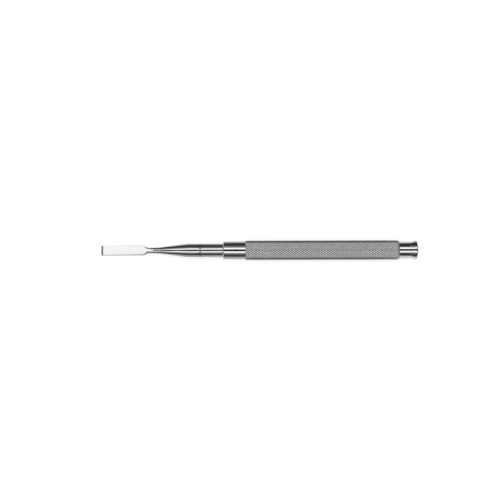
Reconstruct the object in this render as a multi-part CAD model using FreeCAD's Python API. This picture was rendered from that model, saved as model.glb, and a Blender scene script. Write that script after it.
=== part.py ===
import FreeCAD, Part
import math
import os

# Bone chisel, turned from one stainless bar, with its blade ground flat and its grip knurled.
# The axis runs along X from the cutting edge (-X) to the striking head (+X), and Z is up. The chisel lies on
# its grip and the rim of its head, with the origin under the middle of its length. Sizes are millimetres.

# Blade: a turned nose with a flat ground on each face, ending in one bevel on the upper face
blade_width = 5.2
blade_length = 22.2
edge_thickness = 0.72
root_thickness = 2.2
bevel_angle = 35.0
scoop_start = 22.0
wheel_radius = 60.0

# Shoulders, neck and taper
shoulder_angle = 31.0
shoulder_radius = 2.5
neck_diameter = 3.0
neck_length = 7.3
neck_radius = 40.0
taper_length = 15.6
taper_end_radius = 12.0

# Shank with its turned ring, and the collar ahead of the grip
shank_diameter = 7.0
shank_length = 18.5
ring_width = 1.1
ring_depth = 0.1
ring_to_collar = 12.0
collar_diameter = 9.15
collar_length = 11.55
collar_chamfer = 0.25
collar_root_radius = 0.5

# Grip with its crossed knurl, whose pitches are measured from crest to crest along and around the grip
grip_diameter = 10.0
grip_length = 80.15
pitch_along = 1.83
pitch_around = 1.12
knurl_depth = 0.35
front_chamfer = 0.3
rear_chamfer = 1.1
rear_chamfer_depth = 0.6

# Rear neck and striking head
rear_neck_diameter = 8.7
rear_neck_length = 5.2
head_diameter = 10.0
flare_length = 2.6
rim_length = 1.4
rim_radius = 0.6
crown_rise = 0.5

# Stations along the axis, counted from the cutting edge
taper_start = blade_length + neck_length
shank_start = taper_start + taper_length
collar_start = shank_start + shank_length
grip_start = collar_start + collar_length
grip_end = grip_start + grip_length
flare_start = grip_end + rear_neck_length
rim_start = flare_start + flare_length
rim_end = rim_start + rim_length
overall_length = rim_end + crown_rise

AXIS = FreeCAD.Vector(1, 0, 0)
ORIGIN = FreeCAD.Vector(0, 0, 0)


def at(x, z):
    return FreeCAD.Vector(x, 0, z)


def tangent_arc(before, corner, after, radius):
    """Arc of this radius in the corner of a profile, held to the room that its two straight runs leave."""
    back = before - corner
    ahead = after - corner
    half_angle = back.getAngle(ahead) / 2
    reach = min(radius / math.tan(half_angle), 0.49 * back.Length, 0.49 * ahead.Length)
    radius = reach * math.tan(half_angle)
    back.normalize()
    ahead.normalize()
    inward = (back + ahead).normalize()
    middle = corner + inward * (radius / math.sin(half_angle) - radius)
    return Part.Arc(corner + back * reach, middle, corner + ahead * reach)


def outline(start, corners, end):
    """Edges from start to end past (point, radius) corners, each one sharp or with its arc."""
    points = [start] + [corner for corner, radius in corners] + [end]
    edges = []
    here = start
    for k, (corner, radius) in enumerate(corners):
        if radius:
            arc = tangent_arc(points[k], corner, points[k + 2], radius)
            edges += [Part.LineSegment(here, arc.StartPoint), arc]
            here = arc.EndPoint
        else:
            edges.append(Part.LineSegment(here, corner))
            here = corner
    return edges + [Part.LineSegment(here, end)]


def face_of(edges):
    return Part.Face(Part.Wire([edge.toShape() for edge in edges]))


def turned(edges):
    """Solid turned from a profile that starts and ends on the axis."""
    closing = Part.LineSegment(edges[-1].EndPoint, edges[0].StartPoint)
    return face_of(edges + [closing]).revolve(ORIGIN, AXIS, 360)


def ground_away(edges):
    """Solid that grinding takes off the nose: a side outline, wide enough to pass both sides of the blade."""
    return face_of(edges).extrude(FreeCAD.Vector(0, 2 * blade_width, 0)).translate(
        FreeCAD.Vector(0, -blade_width, 0))


def working_end():
    """Nose, neck, taper, shank and collar as they leave the lathe, before the blade is ground."""
    blade_r = blade_width / 2
    neck_r = neck_diameter / 2
    shank_r = shank_diameter / 2
    collar_r = collar_diameter / 2
    shoulder_end = blade_length + (blade_r - neck_r) / math.tan(math.radians(shoulder_angle))
    ring = collar_start - ring_to_collar
    corners = [
        (at(0, blade_r), 0),
        (at(blade_length, blade_r), 0),
        (at(shoulder_end, neck_r), shoulder_radius),
        (at(taper_start, neck_r), neck_radius),
        (at(shank_start, shank_r), taper_end_radius),
        (at(ring - ring_width / 2, shank_r), 0),
        (at(ring, shank_r - ring_depth), 0),
        (at(ring + ring_width / 2, shank_r), 0),
        (at(collar_start, shank_r), collar_root_radius),
        (at(collar_start, collar_r - collar_chamfer), 0),
        (at(collar_start + collar_chamfer, collar_r), 0),
        (at(grip_start, collar_r), 0),
    ]
    return turned(outline(ORIGIN, corners, at(grip_start, 0)))


def blade_flat():
    """What the wheel takes off the upper face: a slightly wedged flat that runs out along the wheel's arc."""
    half_edge = edge_thickness / 2
    half_root = root_thickness / 2
    clear = blade_width / 2 + 0.5
    wedge = math.atan2(half_root - half_edge, scoop_start)
    run_out = math.acos(math.cos(wedge) - (clear - half_root) / wheel_radius)
    centre = at(scoop_start - wheel_radius * math.sin(wedge), half_root + wheel_radius * math.cos(wedge))

    def on_wheel(angle):
        return centre + at(math.sin(angle), -math.cos(angle)) * wheel_radius

    front = at(-scoop_start, 2 * half_edge - half_root)
    root = at(scoop_start, half_root)
    top = at(-scoop_start, clear)
    arc = Part.Arc(root, on_wheel((wedge + run_out) / 2), on_wheel(run_out))
    return ground_away([
        Part.LineSegment(front, root),
        arc,
        Part.LineSegment(arc.EndPoint, top),
        Part.LineSegment(top, front),
    ])


def edge_bevel():
    """What the last grinding takes off: one bevel on the upper face, down to the lower face at the edge."""
    low = -edge_thickness / 2
    clear = blade_width / 2 + 0.5
    slope = math.tan(math.radians(bevel_angle))
    start = at(-1, low - slope)
    end = at((clear - low) / slope, clear)
    top = at(-1, clear)
    return ground_away([
        Part.LineSegment(start, end),
        Part.LineSegment(end, top),
        Part.LineSegment(top, start),
    ])


def ground_end():
    """The working end with its blade ground: both flats, then the bevel."""
    upper = blade_flat()
    lower = upper.mirror(ORIGIN, FreeCAD.Vector(0, 0, 1))
    return working_end().cut([upper, lower, edge_bevel()])


def knurl_rings():
    """Stations of the knurl's rings of points: two end rings, and between them a ring at every half pitch."""
    first = grip_start + front_chamfer
    last = grip_end - rear_chamfer
    steps = max(1, round(2 * (last - first) / pitch_along))
    return [grip_start] + [first + (last - first) * k / steps for k in range(steps + 1)] + [grip_end]


def is_crossing(ring, column):
    """Whether two grooves cross at this point of the knurl. The points between the crossings are crests."""
    return (ring + column) % 2 == 0


def knurl_points(rings, columns):
    """Points of every ring, crossings and crests by turns. The two end rings stay low, as chamfers do."""
    crest = grip_diameter / 2
    valley = crest - knurl_depth
    end_radius = {0: valley, len(rings) - 1: crest - rear_chamfer_depth}
    points = []
    for ring, x in enumerate(rings):
        for column in range(columns):
            radius = end_radius.get(ring, valley if is_crossing(ring, column) else crest)
            angle = 2 * math.pi * column / columns
            points.append(FreeCAD.Vector(x, radius * math.cos(angle), radius * math.sin(angle)))
    return points


def knurl_flanks(ring_count, columns):
    """Flanks of the pyramids, as point numbers. Grooves run between crossings, so the cells fold there."""
    flanks = []
    for ring in range(ring_count - 1):
        for column in range(columns):
            a = ring * columns + column
            b = ring * columns + (column + 1) % columns
            c = b + columns
            d = a + columns
            if is_crossing(ring, column):
                flanks += [(a, b, c), (a, c, d)]
            else:
                flanks += [(a, b, d), (b, c, d)]
    return flanks


def knurled_grip():
    """Grip with a knurl rolled both ways, so that pyramids stand between the crossings of its grooves."""
    rings = knurl_rings()
    columns = 2 * round(math.pi * grip_diameter / pitch_around)
    points = knurl_points(rings, columns)
    flanks = knurl_flanks(len(rings), columns)
    skin = Part.Shape()
    skin.makeShapeFromMesh((points, flanks), 0.0001, True)
    ends = [Part.Face(Part.makePolygon(end + end[:1])) for end in (points[:columns], points[-columns:])]
    shell = Part.Compound([skin] + ends)
    shell.sewShape()
    return Part.Solid(shell)


def striking_head():
    """Rear neck with a concave flare up to the rim, and a crowned face that takes the mallet."""
    neck_r = rear_neck_diameter / 2
    head_r = head_diameter / 2
    rise = head_r - neck_r
    flare = (flare_length ** 2 + rise ** 2) / (2 * rise)
    flare_half = math.asin(flare_length / flare) / 2
    flare_middle = at(flare_start + flare * math.sin(flare_half), neck_r + flare * (1 - math.cos(flare_half)))
    crown = (head_r ** 2 + crown_rise ** 2) / (2 * crown_rise)
    crown_half = math.asin(head_r / crown) / 2
    apex = at(overall_length, 0)
    crown_middle = apex + at(crown * (math.cos(crown_half) - 1), crown * math.sin(crown_half))
    corner = at(grip_end, neck_r)
    flare_foot = at(flare_start, neck_r)
    rim_front = at(rim_start, head_r)
    rim_back = at(rim_end, head_r)
    head = turned([
        Part.LineSegment(at(grip_end, 0), corner),
        Part.LineSegment(corner, flare_foot),
        Part.Arc(flare_foot, flare_middle, rim_front),
        Part.LineSegment(rim_front, rim_back),
        Part.Arc(rim_back, crown_middle, apex),
    ])
    rim = [edge for edge in head.Edges if edge.Vertexes[0].Point.isEqual(rim_back, 0.001) and edge.Closed]
    return head.makeFillet(min(rim_radius, 0.9 * rim_length), rim)


def bone_chisel():
    """All of it as the one piece that it is, laid down on its grip with its blade flat to the ground."""
    rest_height = max(grip_diameter, head_diameter) / 2
    chisel = ground_end().fuse([knurled_grip(), striking_head()])
    return chisel.translate(FreeCAD.Vector(-overall_length / 2, 0, rest_height))


os.makedirs("parts", exist_ok=True)
bone_chisel().exportStep("parts/bone_chisel.step")
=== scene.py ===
import math

import bmesh
import bpy
from mathutils import Matrix, Vector


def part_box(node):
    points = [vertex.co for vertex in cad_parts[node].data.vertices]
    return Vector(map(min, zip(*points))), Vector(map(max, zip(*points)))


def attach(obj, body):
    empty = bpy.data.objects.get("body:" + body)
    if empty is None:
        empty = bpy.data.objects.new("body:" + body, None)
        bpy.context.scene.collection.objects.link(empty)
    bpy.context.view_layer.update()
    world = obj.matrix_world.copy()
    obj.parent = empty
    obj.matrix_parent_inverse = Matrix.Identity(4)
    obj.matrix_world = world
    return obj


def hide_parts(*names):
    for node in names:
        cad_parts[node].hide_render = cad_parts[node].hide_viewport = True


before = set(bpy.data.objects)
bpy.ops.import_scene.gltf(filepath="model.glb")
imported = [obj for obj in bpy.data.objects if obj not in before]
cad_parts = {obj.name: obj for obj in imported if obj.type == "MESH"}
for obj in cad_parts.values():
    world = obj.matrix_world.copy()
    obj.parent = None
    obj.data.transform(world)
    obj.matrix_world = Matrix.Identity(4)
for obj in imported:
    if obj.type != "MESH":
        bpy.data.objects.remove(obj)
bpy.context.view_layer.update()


# Camera: nearly straight above the chisel, leaning a little towards the near side, with a long lens.
# The whole length fills a bit under two thirds of the picture.
LENS_MM = 150.0
SENSOR_MM = 36.0
PICTURE_WIDTH = 0.2604
ELEVATION = math.radians(82)
PICTURE_ROLL = math.radians(-0.15)
PICTURE_MIDDLE = Vector((-0.00502, 0.00015, 0.005))

camera = bpy.data.objects.new("camera", bpy.data.cameras.new("camera"))
camera.data.lens = LENS_MM
camera.data.sensor_width = SENSOR_MM
camera.data.clip_start = 0.01
view_line = Vector((0, -math.cos(ELEVATION), math.sin(ELEVATION)))
camera.location = PICTURE_MIDDLE + view_line * (PICTURE_WIDTH * LENS_MM / SENSOR_MM)
camera.rotation_euler = view_line.to_track_quat("Z", "Y").to_euler()
camera.rotation_euler.rotate_axis("Z", PICTURE_ROLL)
bpy.context.collection.objects.link(camera)
bpy.context.scene.camera = camera


# Working end: blade, neck, taper, ringed shank and collar, turned from the one stainless bar that the whole
# chisel is made of. The blade's two flats are then ground out with a wheel, and its edge gets one bevel.
# Sizes are millimetres from the cutting edge, and become metres where the mesh is made.
MM = 0.001
BLADE_RADIUS = 2.6
BLADE_LENGTH = 22.2
EDGE_THICKNESS = 0.72
ROOT_THICKNESS = 2.2
BEVEL_ANGLE = math.radians(35)
SCOOP_START = 22.0
WHEEL_RADIUS = 60.0
SHOULDER_ANGLE = math.radians(31)
SHOULDER_RADIUS = 2.5
SHOULDER_CORNER = 0.3
NECK_RADIUS = 1.5
NECK_BLEND = 40.0
TAPER_START = 29.5
SHANK_START = 45.1
SHANK_BLEND = 12.0
SHANK_RADIUS = 3.5
RING_MIDDLE = 51.6
RING_WIDTH = 1.1
RING_DEPTH = 0.1
COLLAR_START = 63.6
COLLAR_ROOT = 0.5
COLLAR_RADIUS = 4.575
COLLAR_CHAMFER = 0.25
COLLAR_ROUNDING = 0.08
TURNED_CORNER = 0.05
GRIP_START = 75.15
GROOVE_RADIUS = 4.8
EDGE_BREAK = 0.1
NECK_BREAK = 0.12
SHOULDER_BREAK = 0.35
SHOULDER_MIDDLE = 23.6
SHOULDER_REACH = 1.6
FINE_STEP = 0.45
ARC_STEP = math.radians(6)
KNURL_STARTS = 28
AROUND = 4 * KNURL_STARTS

# Every section has as many points round as the turned ones, whether it has flats or not. Where a flat runs
# out on the neck, its points stay on the least sector, and behind the ground end all sections are turned.
CORNER_STEPS = 3
FLAT_STEPS = AROUND // 8 - 1
SIDE_STEPS = AROUND // 2 - 2 * FLAT_STEPS - 2 * CORNER_STEPS
LEAST_SECTOR = math.radians(25)
GROUND_END = 32.0
FACING_UP_OR_DOWN = 0.7

low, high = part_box("bone_chisel")
TIP_X = low[0]
AXIS_Z = (low[2] + high[2]) / 2


def arc_points(before, corner, after, radius):
    """Points of the arc that rounds a corner of a profile."""
    back = (before - corner).normalized()
    ahead = (after - corner).normalized()
    half_angle = back.angle(ahead) / 2
    reach = radius / math.tan(half_angle)
    centre = corner + (back + ahead).normalized() * (radius / math.sin(half_angle))
    start = corner + back * reach - centre
    end = corner + ahead * reach - centre
    sweep = start.angle(end)
    count = max(2, round(sweep / ARC_STEP))
    points = []
    for k in range(count + 1):
        here = start * math.sin((1 - k / count) * sweep) + end * math.sin(k / count * sweep)
        points.append(centre + here / math.sin(sweep))
    return points


def profile(corners):
    """Profile through (station, radius, rounding) corners."""
    spots = [Vector(corner[:2]) for corner in corners]
    points = [spots[0]]
    for k in range(1, len(corners) - 1):
        rounding = corners[k][2]
        if rounding:
            points += arc_points(spots[k - 1], spots[k], spots[k + 1], rounding)
        else:
            points.append(spots[k])
    return points + [spots[-1]]


def in_fine_steps(points, until):
    """The same profile with its long runs divided, as far as its section changes along them."""
    divided = [points[0]]
    for here, there in zip(points, points[1:]):
        count = math.ceil((there - here).length / FINE_STEP) if here.x < until else 1
        divided += [here.lerp(there, k / count) for k in range(1, count + 1)]
    return divided


def flat_height(x):
    """Height of a ground flat above the axis: a slight wedge that runs out along the wheel's arc."""
    wedge = math.atan2((ROOT_THICKNESS - EDGE_THICKNESS) / 2, SCOOP_START)
    if x < SCOOP_START:
        return ROOT_THICKNESS / 2 - (SCOOP_START - x) * math.tan(wedge)
    centre_x = SCOOP_START - WHEEL_RADIUS * math.sin(wedge)
    centre_z = ROOT_THICKNESS / 2 + WHEEL_RADIUS * math.cos(wedge)
    return centre_z - math.sqrt(WHEEL_RADIUS ** 2 - (x - centre_x) ** 2)


def turned_section(x, radius):
    """Round section, from its top round one side to its bottom."""
    steps = AROUND // 2
    angles = [math.pi * k / steps for k in range(steps + 1)]
    return [(radius * math.sin(angle), radius * math.cos(angle)) for angle in angles]


def flat_and_corner(height, radius, edge_break):
    """Points of half a ground flat and of the edge break beside it, and the angle where the side begins."""
    edge_angle = math.acos(max(-1.0, min(1.0, height / radius)))
    sector = max(edge_angle, LEAST_SECTOR)
    corner = Vector((radius * math.sin(sector), radius * math.cos(sector)))
    side_angle = sector + edge_break / radius
    side = Vector((radius * math.sin(side_angle), radius * math.cos(side_angle)))
    reach = corner.x - edge_break
    points = []
    for k in range(FLAT_STEPS + 1):
        y = reach * k / FLAT_STEPS
        points.append((y, min(height, math.sqrt(radius ** 2 - y ** 2))))
    start = Vector(points[-1])
    pull = corner if edge_angle >= LEAST_SECTOR else (start + side) / 2
    for k in range(1, CORNER_STEPS):
        t = k / CORNER_STEPS
        points.append(tuple(start * (1 - t) ** 2 + pull * 2 * t * (1 - t) + side * t ** 2))
    return points, side_angle


def ground_section(x, radius):
    """Section of the blade, from the middle of its upper face round one side to its lower face."""
    lower = flat_height(x)
    upper = min(lower, x * math.tan(BEVEL_ANGLE) - EDGE_THICKNESS / 2)
    to_neck = (BLADE_RADIUS - radius) / (BLADE_RADIUS - NECK_RADIUS)
    on_shoulder = max(0.0, 1 - abs(x - SHOULDER_MIDDLE) / SHOULDER_REACH)
    edge_break = EDGE_BREAK + NECK_BREAK * to_neck + SHOULDER_BREAK * on_shoulder
    edge_break = min(edge_break, max(0.0, (upper + lower) / 3))
    top, top_angle = flat_and_corner(upper, radius, edge_break)
    bottom, bottom_angle = flat_and_corner(lower, radius, edge_break)
    side_span = math.pi - top_angle - bottom_angle
    angles = [top_angle + side_span * k / SIDE_STEPS for k in range(SIDE_STEPS + 1)]
    side = [(radius * math.sin(angle), radius * math.cos(angle)) for angle in angles]
    return top + side + [(y, -z) for y, z in reversed(bottom)]


def either_section(x, radius):
    """Ground section as far as the flats reach, and turned section behind them."""
    return ground_section(x, radius) if x < GROUND_END else turned_section(x, radius)


def add_skin(steel, points, section):
    """Adds rings of vertices at the profile's points and the faces between them, and returns those faces."""
    rings = []
    for x, radius in points:
        half = section(x, radius)
        ring = half + [(-y, z) for y, z in reversed(half[1:-1])]
        rings.append([steel.verts.new((TIP_X + x * MM, y * MM, AXIS_Z + z * MM)) for y, z in ring])
    faces = []
    for ring, following in zip(rings, rings[1:]):
        for k in range(AROUND):
            beside = (k + 1) % AROUND
            faces.append(steel.faces.new((ring[k], following[k], following[beside], ring[beside])))
            faces[-1].smooth = True
    return faces


shoulder_end = BLADE_LENGTH + (BLADE_RADIUS - NECK_RADIUS) / math.tan(SHOULDER_ANGLE)
bevel_end = EDGE_THICKNESS / (math.tan(BEVEL_ANGLE) - (ROOT_THICKNESS - EDGE_THICKNESS) / 2 / SCOOP_START)
working_end = profile([
    (0, BLADE_RADIUS, 0),
    (bevel_end, BLADE_RADIUS, 0),
    (BLADE_LENGTH, BLADE_RADIUS, SHOULDER_CORNER),
    (shoulder_end, NECK_RADIUS, SHOULDER_RADIUS),
    (TAPER_START, NECK_RADIUS, NECK_BLEND),
    (SHANK_START, SHANK_RADIUS, SHANK_BLEND),
    (RING_MIDDLE - RING_WIDTH / 2, SHANK_RADIUS, TURNED_CORNER),
    (RING_MIDDLE, SHANK_RADIUS - RING_DEPTH, TURNED_CORNER),
    (RING_MIDDLE + RING_WIDTH / 2, SHANK_RADIUS, TURNED_CORNER),
    (COLLAR_START, SHANK_RADIUS, COLLAR_ROOT),
    (COLLAR_START, COLLAR_RADIUS - COLLAR_CHAMFER, TURNED_CORNER),
    (COLLAR_START + COLLAR_CHAMFER, COLLAR_RADIUS, COLLAR_ROUNDING),
    (GRIP_START, COLLAR_RADIUS, 0),
    (GRIP_START, GROOVE_RADIUS, 0),
])
steel = bmesh.new()
turned_faces = add_skin(steel, in_fine_steps(working_end, GROUND_END), either_section)
steel.normal_update()
stations = {face: (face.calc_center_median().x - TIP_X) / MM for face in turned_faces}
ground_faces = [face for face in turned_faces
                if stations[face] < shoulder_end and abs(face.normal.z) > FACING_UP_OR_DOWN]
ring_faces = [face for face in turned_faces if abs(stations[face] - RING_MIDDLE) < RING_WIDTH / 2]


class Socket:
    """A node's output, so that node maths reads as plain expressions."""

    def __init__(self, tree, socket=None):
        self.tree = tree
        self.socket = socket

    def node(self, kind, settings=None, inputs=None, output=0):
        """Adds a node: its settings first, then a value or a link for each of the inputs given."""
        made = self.tree.nodes.new(kind)
        for name, value in (settings or {}).items():
            if name == "stops":
                set_stops(made.color_ramp.elements, value)
            else:
                setattr(made, name, value)
        for key, value in (inputs or {}).items():
            if isinstance(value, Socket):
                self.tree.links.new(value.socket, made.inputs[key])
            else:
                made.inputs[key].default_value = value
        return Socket(self.tree, made.outputs[output]) if made.outputs else made

    def axes(self):
        """The X, Y and Z of this vector."""
        split = self.node("ShaderNodeSeparateXYZ", None, {"Vector": self}).socket.node
        return [Socket(self.tree, axis) for axis in split.outputs]

    def mix(self, first, second):
        """From the first colour to the second, by this factor."""
        return self.node("ShaderNodeMix", {"data_type": "RGBA"}, {0: self, 6: first, 7: second}, 2)

    def math(self, operation, first, second=0.5):
        return self.node("ShaderNodeMath", {"operation": operation}, {0: first, 1: second})

    def __add__(self, other):
        return self.math("ADD", self, other)

    def __sub__(self, other):
        return self.math("SUBTRACT", self, other)

    def __rsub__(self, other):
        return self.math("SUBTRACT", other, self)

    def __mul__(self, other):
        return self.math("MULTIPLY", self, other)

    def __truediv__(self, other):
        return self.math("DIVIDE", self, other)

    def __rtruediv__(self, other):
        return self.math("DIVIDE", other, self)

    def __gt__(self, other):
        return self.math("GREATER_THAN", self, other)

    def __lt__(self, other):
        return self.math("LESS_THAN", self, other)

    __radd__ = __add__
    __rmul__ = __mul__


def set_stops(elements, stops):
    """Gives a colour ramp its (position, grey) stops."""
    while len(elements) < len(stops):
        elements.new(1.0)
    for element, (position, grey) in zip(elements, stops):
        element.position = position
        element.color = (grey, grey, grey, 1)


def new_shader(name):
    """An empty material's node tree, and the material."""
    material = bpy.data.materials.new(name)
    material.use_nodes = True
    material.node_tree.nodes.clear()
    return material, Socket(material.node_tree)


def stretched_noise(net, per_mm, detail):
    """Fine noise on Object coordinates, with its number of features in a millimetre along each axis."""
    place = net.node("ShaderNodeTexCoord", None, None, "Object")
    fitted = net.node("ShaderNodeMapping", None, {"Vector": place, "Scale": [n / MM for n in per_mm]})
    return net.node("ShaderNodeTexNoise", None, {"Vector": fitted, "Scale": 1.0, "Detail": detail})


CLOUDS_PER_MM = 0.12
CLOUD_CHANGE = 0.06
COOLNESS = 0.005


def cool_grey(shade, change):
    """A shade changed by a share of itself, with a touch of blue."""
    return shade * (1 + change), shade * (1 + change), shade * (1 + change + COOLNESS), 1


def steel_finish(name, shade, roughness, roughness_change, lines, line_height):
    """Stainless steel with fine lines in it, which change its roughness and relief a little."""
    material, net = new_shader(name)
    fine = stretched_noise(net, lines, 3.0)
    cloudy = stretched_noise(net, (CLOUDS_PER_MM, CLOUDS_PER_MM, CLOUDS_PER_MM), 2.0)
    tone = cloudy.mix(cool_grey(shade, -CLOUD_CHANGE), cool_grey(shade, CLOUD_CHANGE))
    relief = net.node("ShaderNodeBump", None, {"Distance": line_height * MM, "Height": fine, "Strength": 1.0})
    steel_shader = net.node("ShaderNodeBsdfPrincipled", None, {
        "Base Color": tone,
        "Metallic": 1.0,
        "Roughness": roughness + (fine - 0.5) * roughness_change,
        "Normal": relief,
    })
    net.node("ShaderNodeOutputMaterial", None, {"Surface": steel_shader})
    return material


polished_steel = steel_finish("polished_steel", 0.65, 0.1, 0.06, (9, 0.15, 0.15), 0.0003)
ring_steel = steel_finish("ring_steel", 0.36, 0.3, 0.1, (20, 2, 2), 0.0005)
ground_steel = steel_finish("ground_steel", 0.68, 0.14, 0.06, (0.2, 12, 12), 0.0004)


# Grip: a diamond knurl rolled both ways into the bar. The skin is laid out flat as one net of diamonds, each
# is raised in steps from the grooves to its blunt crest, and the net is then rolled up round the bar. The steps
# are shares of a diamond's width and of the knurl's depth, and the lead is in radians a millimetre.
GRIP_END = 155.3
GRIP_RADIUS = 5.0
KNURL_PITCH = 1.556
KNURL_LEAD = -0.00047
KNURL_STEPS = ((0.85, 0.28), (0.65, 0.58), (0.42, 0.82), (0.18, 1.0))
FRONT_CHAMFER = 0.3
REAR_CHAMFER = 1.1
REAR_END_RADIUS = 4.4
# Painted light in the knurl's colour: painted shade down in the grooves and a painted highlight on the crests.
GROOVE_PAINTED_SHADE = (0.45, 0.45, 0.455, 1)
CREST_PAINTED_HIGHLIGHT = (0.98, 0.98, 0.982, 1)
GROOVE_ROUGHNESS = 0.43
CREST_ROUGHNESS = 0.38
GRAIN_CHANGE = 0.08
GRAINS_PER_MM = 6
GRAIN_HEIGHT = 0.004
JOIN = 1e-6


def knurled_finish_and_painted_light():
    """Stainless steel that is duller down in the grooves, with painted shade in its colour there and a painted
    highlight on the crests.
    """
    material, net = new_shader("knurled_steel")
    along, across, height = net.node("ShaderNodeTexCoord", None, None, "Object").axes()
    up = height - AXIS_Z
    radius = net.math("SQRT", across * across + up * up)
    # Share of the way from the grooves to the crests, by radius: it sets the roughness, and also the painted
    # shade and painted highlight of the colour.
    crest = net.node("ShaderNodeMapRange", None, {
        "Value": radius,
        "From Min": GROOVE_RADIUS * MM,
        "From Max": GRIP_RADIUS * MM,
    })
    grain = stretched_noise(net, (GRAINS_PER_MM, GRAINS_PER_MM, GRAINS_PER_MM), 3.0)
    relief = net.node("ShaderNodeBump", None, {
        "Distance": GRAIN_HEIGHT * MM,
        "Height": grain,
        "Strength": 1.0,
    })
    smoother = crest * (GROOVE_ROUGHNESS - CREST_ROUGHNESS)
    shader = net.node("ShaderNodeBsdfPrincipled", None, {
        "Base Color": crest.mix(GROOVE_PAINTED_SHADE, CREST_PAINTED_HIGHLIGHT),
        "Metallic": 1.0,
        "Roughness": GROOVE_ROUGHNESS - smoother + (grain - 0.5) * GRAIN_CHANGE,
        "Normal": relief,
    })
    net.node("ShaderNodeOutputMaterial", None, {"Surface": shader})
    return material


def placed(net, mesh, x, y, z):
    """The mesh with its points moved to new coordinates."""
    point = net.node("ShaderNodeCombineXYZ", None, {0: x, 1: y, 2: z})
    return net.node("GeometryNodeSetPosition", None, {"Geometry": mesh, "Position": point})


def flat_net(net, size, x, y):
    """A grid turned by an eighth into a net of diamonds, and cut to the grip's rings and starts."""
    columns = size["Starts"] * 2
    reach = net.math("CEIL", (columns + size["Rings"]) / 2) + 2
    grid = net.node("GeometryNodeMeshGrid", None, {
        "Size X": reach,
        "Size Y": reach,
        "Vertices X": reach + 1,
        "Vertices Y": reach + 1,
    })
    turned = placed(net, grid, net.math("ROUND", x + y) + net.math("FLOOR", size["Rings"] / 2),
                    net.math("ROUND", y - x) + size["Starts"], 0.0)
    outside = (x < -0.5) + (x > size["Rings"] + 0.5) + (y < -0.5) + (y > columns - 0.5)
    kept = net.node("GeometryNodeDeleteGeometry", {"domain": "FACE"}, {
        "Geometry": turned,
        "Selection": outside > 0.5,
    })
    ring = net.math("MAXIMUM", net.math("MINIMUM", x, size["Rings"]), 0.0)
    return placed(net, kept, size["Start"] + ring * (size["End"] - size["Start"]) / size["Rings"],
                  y * math.pi / size["Starts"], 0.0)


def raised_diamonds(net, mesh, depth):
    """The net with each of its diamonds raised on its own, in steps that narrow towards the crest."""
    width, height, inner = 1.0, 0.0, {}
    for next_width, next_height in KNURL_STEPS:
        raised = net.node("GeometryNodeExtrudeMesh", {"mode": "FACES"}, {
            "Mesh": mesh,
            "Offset": (0, 0, 1),
            "Offset Scale": depth * (next_height - height),
            "Individual": True,
            **inner,
        }, "Mesh")
        inner = {"Selection": Socket(net.tree, raised.socket.node.outputs["Top"])}
        mesh = net.node("GeometryNodeScaleElements", {"domain": "FACE"}, {
            "Geometry": raised,
            "Scale": next_width / width,
            **inner,
        })
        width, height = next_width, next_height
    return mesh


def knurl_tree():
    """Geometry nodes for the knurled skin of the grip."""
    tree = bpy.data.node_groups.new("diamond_knurl", "GeometryNodeTree")
    for name in ("Starts", "Rings"):
        tree.interface.new_socket(name, in_out="INPUT", socket_type="NodeSocketInt")
    for name in ("Start", "End", "Front Chamfer", "Rear Chamfer", "Rear Drop", "Groove Radius", "Depth",
                 "Turn", "Lead", "Axis Height"):
        tree.interface.new_socket(name, in_out="INPUT", socket_type="NodeSocketFloat")
    tree.interface.new_socket("Material", in_out="INPUT", socket_type="NodeSocketMaterial")
    tree.interface.new_socket("Geometry", in_out="OUTPUT", socket_type="NodeSocketGeometry")
    given = tree.nodes.new("NodeGroupInput")
    size = {socket.name: Socket(tree, socket) for socket in given.outputs if socket.name}
    net = Socket(tree)
    x, y, z = net.node("GeometryNodeInputPosition").axes()

    mesh = raised_diamonds(net, flat_net(net, size, x, y), size["Depth"])
    under_front = (x - size["Start"]) * size["Depth"] / size["Front Chamfer"]
    rear_slope = (size["Depth"] + size["Rear Drop"]) / size["Rear Chamfer"]
    under_rear = (size["End"] - x) * rear_slope - size["Rear Drop"]
    trimmed = placed(net, mesh, x, y, net.math("MINIMUM", net.math("MINIMUM", z, under_front), under_rear))
    radius = size["Groove Radius"] + z
    angle = y + size["Turn"] + (x - size["Start"]) * size["Lead"]
    rolled = placed(net, trimmed, x, radius * net.math("SINE", angle),
                    size["Axis Height"] + radius * net.math("COSINE", angle))
    closed = net.node("GeometryNodeMergeByDistance", None, {"Geometry": rolled, "Distance": JOIN})
    smooth = net.node("GeometryNodeSetShadeSmooth", None, {"Geometry": closed, "Shade Smooth": True})
    real = net.node("GeometryNodeRealizeInstances", None, {"Geometry": smooth})
    steel_skin = net.node("GeometryNodeSetMaterial", None, {"Geometry": real, "Material": size["Material"]})
    net.node("NodeGroupOutput", None, {0: steel_skin})
    return tree


knurled_steel = knurled_finish_and_painted_light()
knurl_sizes = {
    "Starts": KNURL_STARTS,
    "Rings": round(2 * (GRIP_END - GRIP_START) / KNURL_PITCH),
    "Start": TIP_X + GRIP_START * MM,
    "End": TIP_X + GRIP_END * MM,
    "Front Chamfer": FRONT_CHAMFER * MM,
    "Rear Chamfer": REAR_CHAMFER * MM,
    "Rear Drop": (GROOVE_RADIUS - REAR_END_RADIUS) * MM,
    "Groove Radius": GROOVE_RADIUS * MM,
    "Depth": (GRIP_RADIUS - GROOVE_RADIUS) * MM,
    "Turn": math.pi / 2 / KNURL_STARTS,
    "Lead": KNURL_LEAD / MM,
    "Axis Height": AXIS_Z,
    "Material": knurled_steel,
}
blank = bpy.data.objects.new("grip_blank", bpy.data.meshes.new("grip_blank"))
bpy.context.collection.objects.link(blank)
knurl = blank.modifiers.new("knurl", "NODES")
knurl.node_group = knurl_tree()
for socket in knurl.node_group.interface.items_tree:
    if socket.name in knurl_sizes:
        knurl[socket.identifier] = knurl_sizes[socket.name]
grip_mesh = bpy.data.meshes.new_from_object(blank.evaluated_get(bpy.context.evaluated_depsgraph_get()))
bpy.data.objects.remove(blank)


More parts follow.
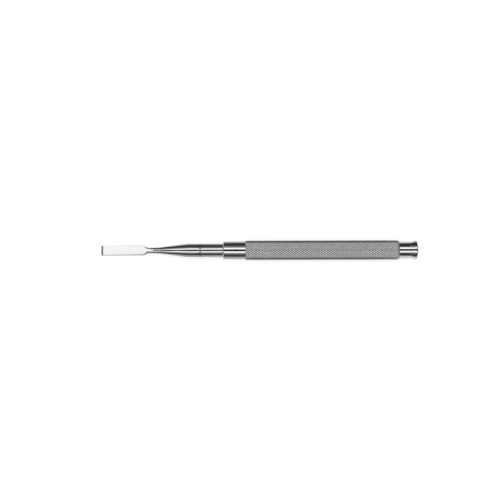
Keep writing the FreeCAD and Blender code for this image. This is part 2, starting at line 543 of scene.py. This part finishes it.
# Striking head: rear neck, concave flare, rim and crowned face, turned from the rear end of the same bar. Its
# mesh is turned by the knurl's lead, so that its first ring of points meets the grip's last one.
REAR_NECK_RADIUS = 4.35
FLARE_START = 160.5
FLARE_LENGTH = 2.6
HEAD_RADIUS = 5.0
RIM_END = 164.5
RIM_FRONT_ROUNDING = 0.15
RIM_ROUNDING = 0.6
CROWN_RISE = 0.5
CROWN_RINGS = 10


def flare_corners():
    """Concave arc from the rear neck up to the rim."""
    rise = HEAD_RADIUS - REAR_NECK_RADIUS
    arc = (FLARE_LENGTH ** 2 + rise ** 2) / (2 * rise)
    sweep = math.asin(FLARE_LENGTH / arc)
    count = round(sweep / ARC_STEP) * 2
    angles = [sweep * k / count for k in range(count)]
    return [(FLARE_START + arc * math.sin(angle), REAR_NECK_RADIUS + arc * (1 - math.cos(angle)), 0)
            for angle in angles]


def crown_corners():
    """Crowned face, from just inside the rim's rounding to the axis."""
    arc = (HEAD_RADIUS ** 2 + CROWN_RISE ** 2) / (2 * CROWN_RISE)
    sweep = math.asin((HEAD_RADIUS - 1.5 * RIM_ROUNDING) / arc)
    apex = RIM_END + CROWN_RISE
    angles = [sweep * (1 - k / CROWN_RINGS) for k in range(CROWN_RINGS + 1)]
    return [(apex - arc * (1 - math.cos(angle)), arc * math.sin(angle), 0) for angle in angles]


striking_head = profile(
    [(GRIP_END, REAR_END_RADIUS, 0), (GRIP_END, REAR_NECK_RADIUS, 0)]
    + flare_corners()
    + [(FLARE_START + FLARE_LENGTH, HEAD_RADIUS, RIM_FRONT_ROUNDING)]
    + [(RIM_END, HEAD_RADIUS, RIM_ROUNDING)]
    + crown_corners()
)
head_faces = add_skin(steel, striking_head, turned_section)
head_points = list({vert for face in head_faces for vert in face.verts})
knurl_turn = Matrix.Rotation(-KNURL_LEAD * (GRIP_END - GRIP_START), 3, "X")
bmesh.ops.rotate(steel, verts=head_points, cent=(0, 0, AXIS_Z), matrix=knurl_turn)
turned_faces += head_faces


# The whole chisel: the turned ends and the knurled grip are one bar of steel, so they are joined into one
# skin. The turned ends have twice the points round, so the open edges at the grip's ends are halved first.
WELD = 0.01
SHARP_ANGLE = math.radians(30)

polished_slot, ground_slot, ring_slot, knurled_slot = range(4)
for face in turned_faces:
    face.material_index = polished_slot
for face in ground_faces:
    face.material_index = ground_slot
for face in ring_faces:
    face.material_index = ring_slot
first_grip_face = len(steel.faces)
steel.from_mesh(grip_mesh)
steel.faces.ensure_lookup_table()
grip_faces = steel.faces[first_grip_face:]
for face in grip_faces:
    face.material_index = knurled_slot
for edge in [edge for face in grip_faces for edge in face.edges if edge.is_boundary]:
    bmesh.utils.edge_split(edge, edge.verts[0], 0.5)
bmesh.ops.remove_doubles(steel, verts=steel.verts, dist=WELD * MM)

chisel_mesh = bpy.data.meshes.new("bone_chisel_steel")
steel.to_mesh(chisel_mesh)
steel.free()
chisel_mesh.set_sharp_from_angle(angle=SHARP_ANGLE)
for finish in (polished_steel, ground_steel, ring_steel, knurled_steel):
    chisel_mesh.materials.append(finish)
chisel = bpy.data.objects.new("bone_chisel_steel", chisel_mesh)
bpy.context.collection.objects.link(chisel)
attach(chisel, "root")
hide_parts("bone_chisel")


# Lamps: two long softboxes beside the lens, parallel to the chisel, so that a polished round shows two bright
# bands with a dark line between them.
LAMP_DISTANCE = 0.8
LAMP_LENGTH = 2.4
LAMP_INNER = math.radians(13)
LAMP_OUTER = math.radians(34.5)
LAMP_RADIANCE = 1.45
LEAN = math.pi / 2 - ELEVATION

lamp_width = 2 * LAMP_DISTANCE * math.tan((LAMP_OUTER - LAMP_INNER) / 2)
for side in (-1, 1):
    lamp = bpy.data.objects.new("softbox", bpy.data.lights.new("softbox", "AREA"))
    lamp.data.shape = "RECTANGLE"
    lamp.data.size = LAMP_LENGTH
    lamp.data.size_y = lamp_width
    lamp.data.energy = LAMP_RADIANCE * math.pi * LAMP_LENGTH * lamp_width
    turn = LEAN + side * (LAMP_INNER + LAMP_OUTER) / 2
    lamp.rotation_euler = (turn, 0, 0)
    lamp.location = (0, -LAMP_DISTANCE * math.sin(turn), AXIS_Z + LAMP_DISTANCE * math.cos(turn))
    lamp.visible_camera = False
    bpy.context.collection.objects.link(lamp)


# Tent: dark cloth round the table, paler beside the lamps and at the blade's end, which only the gloss of the
# steel sees. Its greys go by degrees from the line of view, and over the fade they become the head's.
TENT_RADIUS = 1.0
TENT_HALF_LENGTH = 1.3
TENT_STEPS = 48
TENT_GREYS = (
    (0, 0.0), (35, 0.0), (37, 0.45), (45, 0.28), (55, 0.17), (70, 0.06), (90, 0.03),
)
TENT_HEAD_GREYS = (
    (0, 0.0), (34, 0.0), (35, 0.9), (36.5, 0.6), (39, 0.25), (46, 0.09), (55, 0.05), (90, 0.03),
)
TENT_FADE = (0.03, 0.14)
END_GREYS = (0.3, 0.06)


def grey_by_turn(turn, greys):
    """Grey by angle, from stops in degrees."""
    stops = [(degrees / 90, grey) for degrees, grey in greys]
    return turn.node("ShaderNodeValToRGB", {"stops": stops}, {0: turn / (math.pi / 2)})


def change_along(along, first, last, before, after):
    """From one grey to the next one between two places along the chisel, in metres."""
    passed = along.node("ShaderNodeMapRange", None, {"Value": along, "From Min": first, "From Max": last})
    return passed.mix(before, after)


def let_glow(cloth, net, grey):
    """Gives a cloth its grey as a glow, which isn't counted among the lamps."""
    glow = net.node("ShaderNodeEmission", None, {"Color": grey})
    net.node("ShaderNodeOutputMaterial", None, {"Surface": glow})
    cloth.cycles.emission_sampling = "NONE"


def only_for_gloss(name, mesh):
    """Puts a prop of the studio in place, where only reflections in the steel see it."""
    prop = bpy.data.objects.new(name, mesh)
    prop.visible_camera = False
    prop.visible_diffuse = False
    prop.visible_shadow = False
    bpy.context.collection.objects.link(prop)


tent_shape = bmesh.new()
tent_angles = [math.pi * (k / TENT_STEPS - 0.5) for k in range(TENT_STEPS + 1)]
tent_rings = []
for x in (-TENT_HALF_LENGTH, TENT_HALF_LENGTH):
    spots = [(x, TENT_RADIUS * math.sin(angle), TENT_RADIUS * math.cos(angle)) for angle in tent_angles]
    tent_rings.append([tent_shape.verts.new(spot) for spot in spots])
for near, far in zip(*(zip(ring, ring[1:]) for ring in tent_rings)):
    tent_shape.faces.new((near[0], near[1], far[1], far[0]))
for end, ring in enumerate(tent_rings):
    tent_shape.faces.new(ring).material_index = end + 1
tent_mesh = bpy.data.meshes.new("tent")
tent_shape.to_mesh(tent_mesh)
tent_shape.free()

tent_cloth, net = new_shader("tent_cloth")
along, across, up = net.node("ShaderNodeTexCoord", None, None, "Object").axes()
turn = net.math("ABSOLUTE", net.math("ARCTAN2", across, up) + LEAN)
tent_greys = (grey_by_turn(turn, greys) for greys in (TENT_GREYS, TENT_HEAD_GREYS))
let_glow(tent_cloth, net, change_along(along, *TENT_FADE, *tent_greys))
tent_mesh.materials.append(tent_cloth)
for end_grey in END_GREYS:
    end_cloth, net = new_shader("tent_end_cloth")
    let_glow(end_cloth, net, (end_grey, end_grey, end_grey, 1))
    tent_mesh.materials.append(end_cloth)
only_for_gloss("tent", tent_mesh)


# Card: a small black card just above the neck, which keeps the lamps out of the middle of its thin round. Its
# width is given as degrees to either side of the line of view, at stations from the cutting edge.
CARD_HEIGHT = 0.02
CARD_HALF_ANGLES = ((24.0, 19), (28.0, 19), (29.0, 18), (30.5, 16), (32.5, 14.5), (34.5, 13))

card_z = AXIS_Z + NECK_RADIUS * MM + CARD_HEIGHT
card_places = [(TIP_X + station * MM, math.radians(half)) for station, half in CARD_HALF_ANGLES]
near_edge = [(x, -CARD_HEIGHT * math.tan(LEAN + half), card_z) for x, half in card_places]
far_edge = [(x, -CARD_HEIGHT * math.tan(LEAN - half), card_z) for x, half in card_places]
card_mesh = bpy.data.meshes.new("neck_card")
card_mesh.from_pydata(near_edge + far_edge[::-1], [], [tuple(range(2 * len(card_places)))])
black_card, net = new_shader("black_card")
black = net.node("ShaderNodeEmission", None, {"Strength": 0.0})
net.node("ShaderNodeOutputMaterial", None, {"Surface": black})
card_mesh.materials.append(black_card)
only_for_gloss("neck_card", card_mesh)


# Runner: a glowing grey sheet laid on the table along the chisel, which only its steel shows low down. It is a
# painted reflection of the table, with painted shadow straight down under the shank, grip and head. Its greys
# go by degrees from straight down, seen from the axis. They change along it, at stations from the cutting edge.
RUNNER_HEIGHT = 0.0002
RUNNER_FADE = 0.5
BLADE_GREYS = (
    (0, 0.9), (40, 0.9), (52, 0.6), (67, 0.66), (80.8, 0.38), (83, 0.2), (86, 0.15), (89.7, 0.03),
)
# Straight down, the greys under the shank, grip and head are dark: painted shadow of the chisel on the table.
SHANK_GREYS = (
    (0, 0.08), (25, 0.1), (40, 0.25), (52, 0.6), (67, 0.66),
    (80.8, 0.38), (83, 0.2), (86, 0.15), (89.7, 0.03),
)
GRIP_GREYS = (
    (0, 0.03), (40, 0.05), (60, 0.1), (80, 0.2), (86, 0.15), (89.7, 0.03),
)
HEAD_GREYS = (
    (0, 0.03), (28, 0.08), (40, 0.5), (50, 0.8), (66, 0.95),
    (78, 0.85), (86, 0.45), (88.5, 0.1), (89.7, 0.03),
)


def flat_sheet(name, half_length, half_width, height):
    """A flat rectangle round the middle of the table."""
    mesh = bpy.data.meshes.new(name)
    corners = [(-half_length, -half_width), (half_length, -half_width),
               (half_length, half_width), (-half_length, half_width)]
    mesh.from_pydata([(x, y, height) for x, y in corners], [], [(0, 1, 2, 3)])
    return mesh


runner_painted_reflection, net = new_shader("runner_painted_reflection")
along, across, up = net.node("ShaderNodeTexCoord", None, None, "Object").axes()
turn = net.math("ABSOLUTE", net.math("ARCTAN2", across, AXIS_Z))
grey = grey_by_turn(turn, BLADE_GREYS)
for station, greys in ((BLADE_LENGTH, SHANK_GREYS), (GRIP_START, GRIP_GREYS), (GRIP_END, HEAD_GREYS)):
    first = TIP_X + (station - RUNNER_FADE) * MM
    last = TIP_X + (station + RUNNER_FADE) * MM
    grey = change_along(along, first, last, grey, grey_by_turn(turn, greys))
let_glow(runner_painted_reflection, net, grey)
runner_mesh = flat_sheet("runner", TENT_HALF_LENGTH, TENT_RADIUS, RUNNER_HEIGHT)
runner_mesh.materials.append(runner_painted_reflection)
only_for_gloss("runner", runner_mesh)


# Table and room: a plain white sweep that keeps the chisel's shadow, in a white room.
TABLE_HALF = 2.0
TABLE_COLOUR = (0.9, 0.9, 0.9, 1)
TABLE_GLOW = 0.5
ROOM_LEVEL = 0.5


def seen_directly(net):
    """1 for rays from the lens, off gloss and through glass, otherwise 0."""
    kinds = ("Is Camera Ray", "Is Glossy Ray", "Is Transmission Ray")
    rays = [net.node("ShaderNodeLightPath", None, None, kind) for kind in kinds]
    return net.math("MINIMUM", rays[0] + rays[1] + rays[2], 1.0)


white_sweep, net = new_shader("white_sweep")
matt = net.node("ShaderNodeBsdfDiffuse", None, {"Color": TABLE_COLOUR})
glow = net.node("ShaderNodeEmission", None, {"Strength": seen_directly(net) * TABLE_GLOW})
both = net.node("ShaderNodeAddShader", None, {0: matt, 1: glow})
net.node("ShaderNodeOutputMaterial", None, {"Surface": both})
white_sweep.cycles.emission_sampling = "NONE"
table_mesh = flat_sheet("table", TABLE_HALF, TABLE_HALF, 0)
table_mesh.materials.append(white_sweep)
table = bpy.data.objects.new("table", table_mesh)
bpy.context.collection.objects.link(table)

room = bpy.data.worlds.new("room")
room.use_nodes = True
room.node_tree.nodes.clear()
net = Socket(room.node_tree)
level = ROOM_LEVEL + seen_directly(net) * (1 - ROOM_LEVEL)
light = net.node("ShaderNodeBackground", None, {"Strength": level})
net.node("ShaderNodeOutputWorld", None, {"Surface": light})
bpy.context.scene.world = room
bpy.context.scene.view_settings.view_transform = "Standard"
